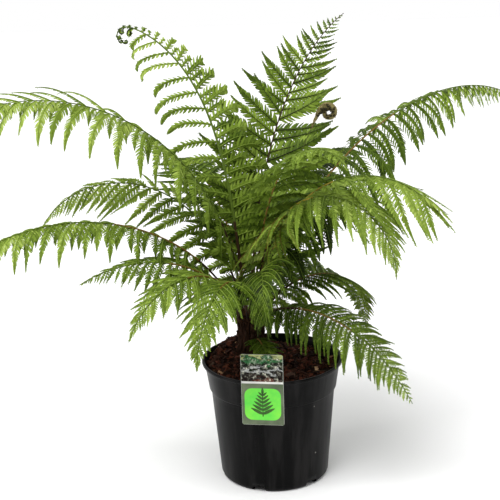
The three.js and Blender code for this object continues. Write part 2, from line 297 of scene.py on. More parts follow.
def addLamp(lamp, place, aim):
    holder = addToScene(lamp.name, lamp)
    heading = (Vector(aim) - Vector(place)).to_track_quat("-Z", "Y")
    holder.matrix_world = Matrix.Translation(place) @ heading.to_matrix().to_4x4()


def makeFloor():
    bm = bmesh.new()
    bmesh.ops.create_grid(bm, x_segments=8, y_segments=8, size=studio["floorReach"])
    floor = addToScene("floor", meshFrom("floor", cleaned(bm)))
    material, tree, shader = startMaterial("pale_floor", studio["floorColour"], specular=0.2)
    setSockets(tree, shader, {"Roughness": addUneven(tree, 3, 1, *studio["floorGloss"])["Range"]})
    floor.data.materials.append(material)
    floor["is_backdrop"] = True


def makeRoom():
    # the camera sees plain white, and the light is dimmer on the camera's side
    world = bpy.data.worlds.new("white_room")
    bpy.context.scene.world = world
    world.use_nodes = True
    tree = world.node_tree
    heading = addNode(tree, "TexCoord", {})["Generated"]
    split = addNode(tree, "SeparateXYZ", {"Vector": heading})
    start, end = studio["skyFall"]
    front, behind = studio["sky"]
    fall = addNode(tree, "MapRange", {
        "Value": split["Y"], "From Min": start, "From Max": end, "To Min": front, "To Max": behind})
    room = tree.nodes["Background"]
    setSockets(tree, room, {"Color": studio["white"], "Strength": fall["Result"]})
    seen = addNode(tree, "Background", {"Color": studio["white"]})
    ray = addNode(tree, "LightPath", {})["Is Camera Ray"]
    mix = addNode(tree, "MixShader", {"Fac": ray, 1: room.outputs["Background"], 2: seen["Background"]})
    setSockets(tree, tree.nodes["World Output"], {"Surface": mix["Shader"]})


def makeLamps():
    place, strength, softness = studio["key"]
    lamp = bpy.data.lights.new("key", "SUN")
    lamp.energy = strength
    lamp.angle = math.radians(softness)
    addLamp(lamp, place, (0, 0, 0))
    for name, (place, size, power) in studio["strips"].items():
        lamp = bpy.data.lights.new(name, "AREA")
        lamp.shape = "RECTANGLE"
        lamp.size, lamp.size_y = size
        lamp.energy = power
        addLamp(lamp, place, studio["aim"])


makeCamera()
makeFloor()
makeRoom()
makeLamps()
bpy.context.scene.view_settings.view_transform = "Standard"
print("camera and studio set")


# pot

pot = {
    "height": 196,
    "wall": 2,
    "floor": 3,
    "base": 87,
    "corner": 8,
    "shoulder": 99,  # the wall's radius just under the rim band
    "band": 48,
    "bandStep": 2,  # height over which the wall steps out to it
    "bandFoot": 102,
    "bandTop": 108,
    "lip": 112.5,
    "lipHeight": 6,
    "lipWidth": 3.5,
    "lipFace": (4.5, 1),  # how far below the top it starts and ends
    "notches": (6, 21, 8, 22, -109),  # count, width, height, depth, first one in degrees
    "notchEdge": 1.5,
    "steps": 120,
    "cuts": {7: 14, 16: 6, 9: 4},  # stretches of the profile that are cut finer
    "waver": 0.35,  # how far the thin wall wanders from round
    "edge": 0.8,
}
wallTop = pot["height"] - pot["band"]
bandFoot = wallTop + pot["bandStep"]


def wallLine():
    # radius and height of the wall's outside, from the corner up to the lip's foot
    return [
        (pot["base"], pot["corner"]),
        (pot["shoulder"], wallTop),
        (pot["bandFoot"], bandFoot),
        (pot["bandTop"], pot["height"] - pot["lipHeight"]),
    ]


def potProfile():
    top, lip, corner = pot["height"], pot["lip"], pot["corner"]
    faceStart, faceEnd = pot["lipFace"]
    arc = [math.radians(15 * k) for k in range(7)]
    foot = [(pot["base"] - corner * (1 - math.sin(a)), corner * (1 - math.cos(a))) for a in arc]
    rim = [(lip, top - faceStart), (lip, top - faceEnd), (lip - faceEnd, top), (lip - pot["lipWidth"], top)]
    inside = [(r - pot["wall"], z) for r, z in reversed(wallLine())]
    floor = [(pot["base"] - corner, pot["floor"]), (0, pot["floor"])]
    return [(0, 0)] + foot + wallLine()[1:] + rim + inside + floor


def innerRadius(height):
    # the inside of the pot's wall at a height
    rim = (pot["lip"] - pot["lipWidth"] + pot["wall"], pot["height"])
    radii, heights = zip(*wallLine(), rim)
    return float(np.interp(height, heights, radii)) - pot["wall"]


def potMaterial():
    material, tree, shader = startMaterial("black_plastic", (10, 10, 9), specular=0.075)
    streaks = addUneven(tree, 26, 0.14, 0.26, 0.46)  # moulding streaks run up the wall
    place = addNode(tree, "TexCoord", {})["Object"]
    specks = addNode(tree, "TexVoronoi", {"Vector": place, "Scale": 62})
    near = addNode(tree, "MapRange", {  # a speck of dust at the middle of few cells
        "Value": specks["Distance"], "From Min": 0.1, "From Max": 0.06})
    pick = addNode(tree, "SeparateColor", {"Color": specks["Color"]})
    few = addNode(tree, "Math", {0: pick["Red"], 1: 0.9}, operation="GREATER_THAN")
    dust = addNode(tree, "Math", {0: near["Result"], 1: few["Value"]}, operation="MULTIPLY")
    paintedReflection = addUneven(tree, 34, 0.09)  # lighter vertical streaks in the base colour: painted reflection that stands in for the glossy wall's highlights
    reflectionStreakMask = addNode(tree, "MapRange", {
        "Value": paintedReflection["Value"], "From Min": 0.36, "From Max": 0.86}, interpolation_type="SMOOTHSTEP")
    # near-black base colour, lighter where the painted reflection streaks fall
    base = mixColours(tree, reflectionStreakMask["Result"], tint(3, 3, 3), tint(26, 25, 25))
    setSockets(tree, shader, {
        "Base Color": mixColours(tree, dust["Value"], base, tint(120, 118, 112)),
        "Roughness": streaks["Range"],
        "Normal": addBump(tree, streaks["Value"], 0.25, 0.4),
    })
    return material


def notchCutter():
    count, width, height, depth, first = pot["notches"]
    size = Matrix.Diagonal((2 * depth * mm, width * mm, 2 * height * mm, 1))
    place = Matrix.Translation((pot["base"] * mm, 0, 0))
    bm = bmesh.new()
    for k in range(count):
        turn = Matrix.Rotation(math.radians(first + 360 / count * k), 4, "Z")
        bmesh.ops.create_cube(bm, size=1, matrix=turn @ place @ size)
    bevelEdges(bm, list(bm.edges), pot["notchEdge"], 2)
    return addToScene("notch_cutter", meshFrom("notch_cutter", cleaned(bm)))


def makePot():
    bm = turnedProfile(potProfile(), pot["steps"], pot["cuts"])
    sharp = [e for e in bm.edges if e.is_manifold and e.calc_face_angle() > 0.35 and e.verts[0].co.z > 0.02]
    bevelEdges(bm, sharp, pot["edge"], 3, clamp=True)
    for v in bm.verts:  # the thin wall isn't quite round
        reach = math.hypot(v.co.x, v.co.y)
        if reach > 0.05 and v.co.z > 0.012:
            push = pot["waver"] * mm * noise.noise(Vector((v.co.x * 22, v.co.y * 22, v.co.z * 5)))
            v.co.x += push * v.co.x / reach
            v.co.y += push * v.co.y / reach
    piece = addPiece("pot_shell", meshFrom("pot_shell", cleaned(bm)), [potMaterial()])
    cutter = notchCutter()
    cut = piece.modifiers.new("notches", "BOOLEAN")
    cut.operation = "DIFFERENCE"
    cut.solver = "EXACT"
    cut.object = cutter
    bpy.context.view_layer.objects.active = piece
    bpy.ops.object.modifier_apply(modifier=cut.name)
    bpy.data.objects.remove(cutter)
    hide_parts("pot")


makePot()
print("pot turned")


# soil and bark chips

soil = {
    "edgeLevel": 180,
    "clear": 0.6,  # gap to the pot's wall
    "mounds": ((-31, 15, 21, 46), (-54, 70, 19, 30)),  # x, y, height and spread: at the trunk, and behind it
    "floor": 9,
    "rings": 30,
    "steps": 120,
    "lumps": ((45, 2.2), (120, 1.6), (300, 0.9)),  # how fine, and how high
    "bits": {  # count, length, seed, share of each material
        "bark_chips": (1500, (3, 12), 11, (0.2, 0.42, 0.33, 0.04, 0.01)),
        "bark_crumbs": (2600, (1.5, 4), 12, (0.3, 0.4, 0.26, 0.03, 0.01)),
    },
    "bitWidth": (0.35, 0.75),  # shares of the length
    "bitThickness": (0.2, 0.5),
    "bitTilt": 0.35,
}

trunk = {  # up here because bits of bark keep clear of its foot
    "x": -31,
    "y": 15,
    "foot": 197,
    "height": 78,
    "lean": 0.02,
    "flare": 28,
    "waist": 19,
    "crown": 21,
    "steps": 96,
    "cuts": {1: 2, 2: 4, 3: 5, 4: 11, 5: 3, 6: 3, 7: 2},  # stretches of the profile that are cut finer
    "ridges": 2.4,  # depth of the fibrous relief
    "strands": 420,
    "strandDrop": (12, 50),
    "strandRadius": (0.35, 0.8),
    "stubs": 26,
    "stubLength": (14, 24),
    "stubRadius": (2.2, 3.2),
    "seed": 5,
}

soilMaterials = [
    mottledMaterial("damp_peat", (42, 24, 17), (24, 13, 10), (0.75, 0.95), 130, 1.2),
    mottledMaterial("dark_bark", (76, 46, 34), (42, 25, 18), (0.6, 0.9), 170, 0.8),
    mottledMaterial("red_bark", (104, 56, 40), (62, 33, 24), (0.6, 0.85), 150, 0.8),
    mottledMaterial("grey_bark", (92, 70, 58), (54, 38, 32), (0.65, 0.9), 160, 0.8),
    mottledMaterial("pale_chip", (214, 176, 140), (170, 120, 84), (0.6, 0.8), 140, 0.6),
]


def soilLevel(x, y):
    # height in metres of the mounded surface, x and y in metres
    level = soil["edgeLevel"]
    for moundX, moundY, high, spread in soil["mounds"]:
        away = math.hypot(x / mm - moundX, y / mm - moundY)
        level += high * math.exp(-0.5 * (away / spread) ** 2)
    return level * mm


def makeSoil():
    clear, level = soil["clear"], soil["edgeLevel"]
    profile = [
        (0, soil["floor"]),
        (pot["base"] - pot["corner"] - 1, soil["floor"]),
        (innerRadius(pot["corner"]) - clear, pot["corner"] + 1),
        (innerRadius(wallTop) - clear, bandFoot),
        (innerRadius(level) - clear, level),
        (0, level),
    ]
    bm = turnedProfile(profile, soil["steps"], {4: soil["rings"]})
    for v in bm.verts:
        if v.co.z > level * mm - 1e-6:
            lift = sum(high * mm * noise.noise(v.co * fine) for fine, high in soil["lumps"])
            v.co.z = soilLevel(v.co.x, v.co.y) + lift
    piece = addPiece("soil_body", meshFrom("soil_body", cleaned(bm)), soilMaterials[:1])
    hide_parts("soil")


def scatterBits(name, count, length, seed, weights):
    # angular bits of bark that lie half sunk in the surface
    draw = np.random.default_rng(seed)
    edge = (innerRadius(soil["edgeLevel"]) - 3) * mm
    place = edge * np.sqrt(draw.uniform(0, 1, count))
    turn = draw.uniform(0, math.tau, count)
    x, y = place * np.cos(turn), place * np.sin(turn)
    outside = np.hypot(x / mm - trunk["x"], y / mm - trunk["y"]) > trunk["flare"] - 7
    x, y = x[outside], y[outside]
    count = len(x)
    long = between(length, draw.uniform(0, 1, count) ** 2.2)
    wide = long * draw.uniform(*soil["bitWidth"], count)
    thick = long * draw.uniform(*soil["bitThickness"], count)
    size = np.stack([long, wide, thick], 1) * mm
    lift = [soilLevel(a, b) for a, b in zip(x, y)] + size[:, 2] * draw.uniform(0.05, 0.5, count)
    corner = np.array([(a, b, c) for a in (-0.5, 0.5) for b in (-0.5, 0.5) for c in (-0.5, 0.5)])
    shape = corner[None] * size[:, None] * draw.uniform(0.65, 1.25, (count, 8, 3))
    heading = draw.uniform(0, math.tau, count)
    tip = draw.normal(0, soil["bitTilt"], count)
    roll = draw.normal(0, soil["bitTilt"], count)
    points = np.empty_like(shape)
    for k in range(count):
        spin = Matrix.Rotation(heading[k], 3, "Z") @ Matrix.Rotation(tip[k], 3, "X")
        spin = spin @ Matrix.Rotation(roll[k], 3, "Y")
        points[k] = shape[k] @ np.array(spin).T + (x[k], y[k], lift[k])
    box = np.array([(0, 1, 3, 2), (4, 6, 7, 5), (0, 4, 5, 1), (2, 3, 7, 6), (0, 2, 6, 4), (1, 5, 7, 3)])
    faces = (box[None] + 8 * np.arange(count)[:, None, None]).reshape(-1, 4)
    slots = np.repeat(draw.choice(len(soilMaterials), count, p=weights), len(box))
    addGrown(name, points.reshape(-1, 3), faces.tolist(), slots, soilMaterials, smooth=False)


makeSoil()
for name, bits in soil["bits"].items():
    scatterBits(name, *bits)
print("soil filled")


# trunk: fibrous stem with strands of root and the stubs of old stalks

barkMaterials = [
    mottledMaterial("trunk_bark", (44, 28, 19), (22, 14, 10), (0.7, 0.95), 120, 1.2, 0.3),
    mottledMaterial("root_strand", (66, 42, 27), (34, 21, 14), (0.65, 0.9), 200, 0.5, 0.3),
    mottledMaterial("old_stalk", (58, 38, 24), (28, 18, 12), (0.55, 0.85), 150, 0.5, 0.3),
    mottledMaterial("crown_hair", (112, 76, 44), (66, 42, 26), (0.6, 0.85), 180, 0.2),
]


def trunkAxis(height):
    # the stem's middle at a height above its foot, in millimetres
    return np.array([trunk["x"] - trunk["lean"] * height, trunk["y"], trunk["foot"] + height])


def trunkProfile():
    top, waist, crown = trunk["height"], trunk["waist"], trunk["crown"]
    return [
        (0, 0), (trunk["flare"], 0), (trunk["flare"] - 3, 5), (waist + 2, 15), (waist, 28), (crown, top - 20),
        (crown * 0.94, top - 12), (crown * 0.7, top - 5), (crown * 0.35, top - 1), (0, top),
    ]


def trunkRadius(height):
    radii, heights = zip(*trunkProfile()[1:])
    return np.interp(height, heights, radii)


def aroundTrunk(heights, angle, off):
    middle = np.array([trunkAxis(z) for z in heights])
    return middle + np.stack([off * np.cos(angle), off * np.sin(angle), 0 * off], 1)


def makeTrunk():
    bm = turnedProfile(trunkProfile(), trunk["steps"], trunk["cuts"])
    for v in bm.verts:
        reach = math.hypot(v.co.x, v.co.y)
        if reach < 1e-5:
            continue
        ridge = noise.fractal(Vector((v.co.x * 160, v.co.y * 160, v.co.z * 34)), 1, 2, 4)
        push = 1 + trunk["ridges"] * mm * (ridge - 0.3) / reach
        v.co.x *= push
        v.co.y *= push
    for v in bm.verts:
        v.co += Vector(trunkAxis(v.co.z / mm) * mm) - Vector((0, 0, v.co.z))
    mesh = meshFrom("trunk_stem", cleaned(bm))
    for v in mesh.vertices:
        v.co.z = max(v.co.z, (trunk["foot"] - 1) * mm)
    piece = addPiece("trunk_stem", mesh, barkMaterials[:1])
    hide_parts("trunk")


def makeStrands():
    # wiry roots that run down the stem, and the cut stubs of old stalks
    draw = np.random.default_rng(trunk["seed"])
    stations = np.linspace(0, 1, 9)
    paths, radii = [], []
    for k in range(trunk["strands"]):
        angle = draw.uniform(0, math.tau)
        high = draw.uniform(14, trunk["height"] - 6)
        low = max(-1, high - draw.uniform(*trunk["strandDrop"]))
        heights = between((high, low), stations)
        wander = angle + np.cumsum(draw.normal(0, 0.05, len(stations)))
        off = trunkRadius(heights) + 0.2 + 1.4 * draw.uniform(0, 1)
        off = off + np.cumsum(draw.normal(0, 0.15, len(stations)))
        paths.append(aroundTrunk(heights, wander, off))
        radii.append(draw.uniform(*trunk["strandRadius"]) * (1 - 0.6 * stations))
    addTubes("root_strands", np.array(paths) * mm, np.array(radii) * mm, 4, barkMaterials[1:2])
    paths, radii = [], []
    for k in range(trunk["stubs"]):
        angle = k * 2.4 + draw.uniform(-0.2, 0.2)
        foot = 16 + 44 * k / trunk["stubs"]
        rise = stations * draw.uniform(*trunk["stubLength"])
        paths.append(aroundTrunk(foot + rise, angle, trunkRadius(foot) - 3 + rise * 0.35))
        radii.append(draw.uniform(*trunk["stubRadius"]) * (1 - 0.35 * stations))
    addTubes("stalk_stubs", np.array(paths) * mm, np.array(radii) * mm, 8, barkMaterials[2:3])


makeTrunk()
makeStrands()
print("trunk made")


# label: a printed card hooked over the pot's lip

label = {
    "width": 65,
    "height": 115,
    "thickness": 1,
    "aboveRim": 47,
    "clear": 0.3,  # gap to the lip
    "turn": -99,  # degrees from +X
    "corner": 3,
    "tongue": (24, 12),  # width, drop
    "bridge": 0.8,  # height of the tongue's middle over the lip
    "picture": 44,  # height of the upper panel
    "strip": 3,
    "field": (56, 52, 12),  # width, height and corner of the bright field
    "stem": (1.8, 40),  # width and height
    "sprig": (6, 6, -16),  # pairs of leaves, their spacing, and the first above the field's middle
    "leaf": (21, 6.5, 62),  # length, width and lean of the lowest leaves
    "fewer": (2.4, 0.5, 3),  # what each pair further up loses of these
    "tipLeaf": (11, 5, 17),  # length, width, height above the field's middle
    "print": 0.12,
    "bands": (  # colours of the picture from below
        (0, (92, 44, 34)),
        (0.14, (26, 14, 12)),
        (0.32, (8, 8, 8)),
        (0.42, (176, 178, 176)),
        (0.5, (12, 14, 11)),
        (0.66, (18, 30, 16)),
        (0.78, (48, 108, 62)),
        (0.88, (16, 26, 14)),
        (1, (164, 172, 112)),
    ),
}
labelTop = pot["height"] + label["aboveRim"]


def pictureMaterial():
    # a dim woodland picture in uneven bands, from the earth up to the leaves
    material, tree, shader = startMaterial("label_picture", (30, 34, 26), specular=0.05)
    place = addNode(tree, "TexCoord", {})["Object"]
    split = addNode(tree, "SeparateXYZ", {"Vector": place})
    height = addNode(tree, "MapRange", {
        "Value": split["Z"], "From Min": labelTop * mm - label["picture"] * mm, "From Max": labelTop * mm,
        "To Min": -0.24, "To Max": 0.76})
    broad = addUneven(tree, 62, 1.6, 0.25, 0.4)
    parts = {0: broad["Value"], 1: 0.48, 2: height["Result"]}
    mingled = addNode(tree, "Math", parts, operation="MULTIPLY_ADD")
    bands = tree.nodes.new("ShaderNodeValToRGB")
    setSockets(tree, bands, {"Fac": mingled["Value"]})
    while len(bands.color_ramp.elements) < len(label["bands"]):
        bands.color_ramp.elements.new(0.5)
    for stop, (share, colour) in zip(bands.color_ramp.elements, label["bands"]):
        stop.position = share
        stop.color = tint(*colour)
    fine = addUneven(tree, 210)
    glint = addNode(tree, "Math", {0: fine["Value"], 1: 5}, operation="POWER")
    colour = mixColours(tree, glint["Value"], bands.outputs["Color"], tint(236, 236, 214))
    setSockets(tree, shader, {"Base Color": colour, "Roughness": broad["Range"]})
    return material


labelMaterials = {
    "card": mottledMaterial("label_card", (178, 182, 172), (160, 165, 156), (0.3, 0.42), 60, 0.05),
    "panel": mottledMaterial("label_panel", (112, 122, 98), (84, 96, 74), (0.28, 0.4), 45, 0.03),
    "field": mottledMaterial("label_field", (132, 226, 78), (86, 208, 78), (0.25, 0.38), 30, 0.03),
    "leaf": mottledMaterial("label_leaf", (70, 104, 52), (54, 88, 44), (0.28, 0.4), 80, 0.03),
    "strip": mottledMaterial("label_strip", (232, 232, 224), (206, 206, 204), (0.3, 0.4), 70, 0.03),
    "picture": pictureMaterial(),
}
labelSlots = {name: k for k, name in enumerate(labelMaterials)}
labelTurn = Matrix.Rotation(math.radians(label["turn"]), 3, "Z")


def roundedPlate(bm, width, height, corner, level, depth, front, slot):
    # a flat plate that faces +X, with rounded corners, its front face at the given X
    before = set(bm.faces)
    size = Matrix.Diagonal((depth * mm, width * mm, height * mm, 1))
    middle = Matrix.Translation(((front - depth / 2) * mm, 0, level * mm))
    made = bmesh.ops.create_cube(bm, size=1, matrix=middle @ size)
    edges = {e for v in made["verts"] for e in v.link_edges}
    across = [e for e in edges if abs(e.verts[0].co.x - e.verts[1].co.x) > 0.5 * depth * mm]
    if corner:
        bevelEdges(bm, across, corner, 6)
    for face in set(bm.faces) - before:
        face.material_index = slot


def leafPlate(bm, length, width, level, turn, front):
    # a pointed leaf shape that lies on the card
    before = set(bm.faces)
    made = bmesh.ops.create_circle(bm, cap_ends=True, radius=0.5, segments=20)
    for v in made["verts"]:
        along = v.co.x + 0.5
        side = v.co.y * width * (1.1 - 0.6 * along)
        reach = along * length
        y = reach * math.cos(turn) - side * math.sin(turn)
        z = level + reach * math.sin(turn) + side * math.cos(turn)
        v.co = Vector((front * mm, y * mm, z * mm))
    for face in set(bm.faces) - before:
        face.material_index = labelSlots["leaf"]


def makeCard(back, face):
    tongueWidth, drop = label["tongue"]
    wall = innerRadius(pot["height"] - drop) - 1
    tongueFront = math.sqrt(wall ** 2 - (tongueWidth / 2) ** 2)
    bridge = pot["height"] + label["bridge"]
    middle = labelTop - label["height"] / 2
    bm = bmesh.new()
    roundedPlate(bm, label["width"], label["height"], label["corner"], middle, label["thickness"], face, 0)
    size = Matrix.Diagonal(((back - tongueFront + 2) * mm, tongueWidth * mm, 1 * mm, 1))
    place = Matrix.Translation(((back + tongueFront) / 2 * mm, 0, bridge * mm))
    bmesh.ops.create_cube(bm, size=1, matrix=place @ size)
    roundedPlate(bm, tongueWidth, drop, 0, bridge + 0.5 - drop / 2, 1, tongueFront, 0)
    bmesh.ops.rotate(bm, verts=bm.verts, cent=(0, 0, 0), matrix=labelTurn)
    mesh = meshFrom("label_card", cleaned(bm))
    piece = addPiece("label_card", mesh, [labelMaterials["card"]], smooth=False)
    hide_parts("label")


def makePrint(face):
    layer, picture, strip = label["print"], label["picture"], label["strip"]
    width = label["width"] - 1
    panel = label["height"] - picture - strip
    middle = labelTop - picture - strip - panel / 2
    plates = {  # width, height, corner, level, and in layers of print its depth and its front
        "picture": (width, picture - 0.5, 1, labelTop - picture / 2, 2, 1),
        "strip": (width, strip, 0, labelTop - picture - strip / 2, 2, 1),
        "panel": (width, panel - 1, 1, middle, 2, 1),
        "field": (*label["field"], middle, 1, 2),
        "leaf": (*label["stem"], 0, middle, 1, 2.6),
    }
    bm = bmesh.new()
    for name, (wide, high, corner, level, depth, front) in plates.items():
        roundedPlate(bm, wide, high, corner, level, depth * layer, face + front * layer, labelSlots[name])
    bmesh.ops.recalc_face_normals(bm, faces=bm.faces)
    front = face + plates["leaf"][-1] * layer
    pairs, spacing, first = label["sprig"]
    for k in range(pairs):
        long, wide, lean = (most - k * less for most, less in zip(label["leaf"], label["fewer"]))
        for hand in (-1, 1):
            turn = math.pi / 2 - hand * math.radians(lean)
            leafPlate(bm, long, wide, middle + first + spacing * k, turn, front)
    long, wide, above = label["tipLeaf"]
    leafPlate(bm, long, wide, middle + above, math.pi / 2, front)
    bmesh.ops.rotate(bm, verts=bm.verts, cent=(0, 0, 0), matrix=labelTurn)
    outward = labelTurn @ Vector((1, 0, 0))
    flat = [f for f in bm.faces if len(f.verts) == 20 and f.normal.dot(outward) < 0]
    bmesh.ops.reverse_faces(bm, faces=flat)
    mesh = meshFrom("label_print", bm)
    addPiece("label_print", mesh, labelMaterials.values(), smooth=False)


labelBack = pot["lip"] + label["clear"]
makeCard(labelBack, labelBack + label["thickness"])
makePrint(labelBack + label["thickness"])
print("label printed")


# fronds: the source's rule, carried on to leaflets with rows of small blunt leaves

ribRule = {
    "stations": 160,  # of its course
    "rings": 111,  # of its mesh
    "base": 2.4,
    "tip": 0.6,
    "taper": 0.5,
    "sides": 8,
    "changes": (0.07, 0.25, 0.55),  # where along the rib its tone changes
}
leafletRule = {
    "reach": 0.985,  # where along the rib the last ones stand
    "steps": 16,
    "stagger": 0.2,
    "start": 0.14,  # where the swell of their lengths starts
    "least": 2.5,  # shortest length
    "most": (0.95, 0.97),  # droop of draped ones, and of any
    "draped": 0.45,  # how far up the frond they drape
    "rib": (0.8, 0.2),  # radius at its root and its tip
    "raise": 0.35,  # it stands out above the leaves
    "change": 0.35,  # where along the frond the midribs' tone changes
    "buds": (0.8, 0.9),  # where along a young frond they are still rolled up
    "budLength": 12,
    "budTone": -1.5,
    "crestRise": 0.12,  # share of the frond over which arcs begin
    "crestShort": 24,
    "vary": {"place": 0.07, "lean": 5.5, "length": (0.8, 1.07), "droop": (0.82, 1.12), "tone": 0.55},
}
leafRule = {
    "fewest": 4,  # on each side of a leaflet
    "crowding": 1.15,
    "stagger": 0.2,
    "span": (0.01, 0.995),  # of the leaflet's length
    "tipSlim": 0.36,  # breadth of leaflets at the frond's tip, as a share of their length
    "shortest": 0.9,
    "lean": (74, 44),  # at the leaflet's root and its tip
    "sweep": 0.3,  # how far its tip turns forward
    "sag": 0.14,
    "slant": 11,
    "keel": 0.34,  # how deep it is folded along its middle
    "joined": (0.58, 0.92),  # where along the leaflet leaves begin to widen, and where they run together
    "wing": (0.26, 1),  # share of the breadth that the dark sheet along the midrib fills there: painted shade under the slits between the leaves
    # how much darker that sheet is: painted shade
    "paintedShadeTone": -0.9,
    "outline": ((0, 0.46), (0.25, 0.5), (0.5, 0.48), (0.74, 0.4), (0.91, 0.24), (1, 0)),
    "vary": {"place": 0.004, "reach": (0.92, 1.08), "width": (0.9, 1.08), "lean": 4, "slant": 9,
             "tone": 0.45},
}
leafletForms = {  # how far the leaves stand out, from the leaflet's root to its tip
    "oblong": ((0, 0.84), (0.1, 1), (0.4, 0.94), (0.6, 0.68), (0.76, 0.38), (0.89, 0.16), (1, 0.04)),
    "lance": ((0, 0.62), (0.14, 0.92), (0.34, 1), (0.55, 0.8), (0.72, 0.5), (0.86, 0.24), (1, 0.04)),
    "hanging": ((0, 0.95), (0.12, 0.95), (0.35, 0.7), (0.6, 0.46), (0.82, 0.22), (1, 0.04)),
    "slender": ((0, 0.55), (0.12, 0.84), (0.4, 1), (0.65, 0.86), (0.85, 0.5), (1, 0.12)),
}
whorls = {"inner": (7, 8), "middle": (12, 12), "outer": (17, 20), "foot": (14, 50)}  # radius, depth

# what a frond has unless its own row says otherwise; "by hand" is one number, or one each for left and right
usual = {
    "sections": 2,  # solids of the source that it replaces
    "girth": 1,
    "curl": 0,  # degrees that its tip rolls up, on which share of it, and how late
    "curlShare": 0.13,
    "curlBend": 2,
    "tilt": 0,  # degrees that the blade leans over sideways
    "stalk": 0.12,  # share of the rib below the first leaflets
    "end": 1,  # share of it that is drawn
    "past": 20,  # how far leaflets may reach past its end
    "spacing": 11.5,  # between leaflets, wider at the foot by the crowding
    "crowding": 1.7,
    "peak": 0.85,  # by hand: the smaller, the nearer the foot the longest leaflets stand
    "hold": 1,  # the smaller, the longer the leaflets at the tip
    "hands": 1,  # by hand: share of the leaflets' length
    "lean": (70, 46),  # degrees from rib to leaflet, at foot and tip
    "leans": 1,  # by hand: share of that
    "lift": 0.15,  # by hand: how steeply leaflets rise from the rib, and how soon that settles
    "settle": 0,
    "forward": 0.2,  # how they curve on towards the tip
    "hang": (0.15, 0.9),  # share of the droop at their root, and how late the rest comes
    "drape": 0,  # how much further they droop near the foot
    "twist": 14,
    "every": 1,  # one pair in so many is long, and "short" by hand is the others' share
    "short": 1,
    "crest": (2, 0, 0, 0, 0),  # where right-hand leaflets begin to stand in arcs: lift, lean, droop, length
    "tipCurl": 0,  # degrees that young leaflets roll in
    "form": "oblong",
    "breadth": 17,  # by hand: of a leaflet, at most "slim" of its length
    "slim": 0.13,
    "narrowing": 0,  # share of the breadth that is lost towards the frond's tip
    "gap": 4.8,  # between leaves
    "leaf": (0.82, 1.15),  # width of a leaf as a share of the gap, at the leaflet's root and tip
    "fold": (0.1, 0.4),  # how far leaves hang to their sides
    "tones": (3, 4),  # of leaves at foot and tip; the lower tones at the foot and on fronds that stand in shade are painted shade, the brighter tips painted light
    "rib": ("tan", "green"),
    "fine": "fine",  # tone of the midribs, or two from foot to tip
}


def row(name, whorl, course, width, droop, **own):
    course = dict(zip(("azimuth", "length", "rise", "fall", "bend", "sweep"), course))
    return dict(usual, name=name, whorl=whorl, width=width, droop=droop, **course, **own)


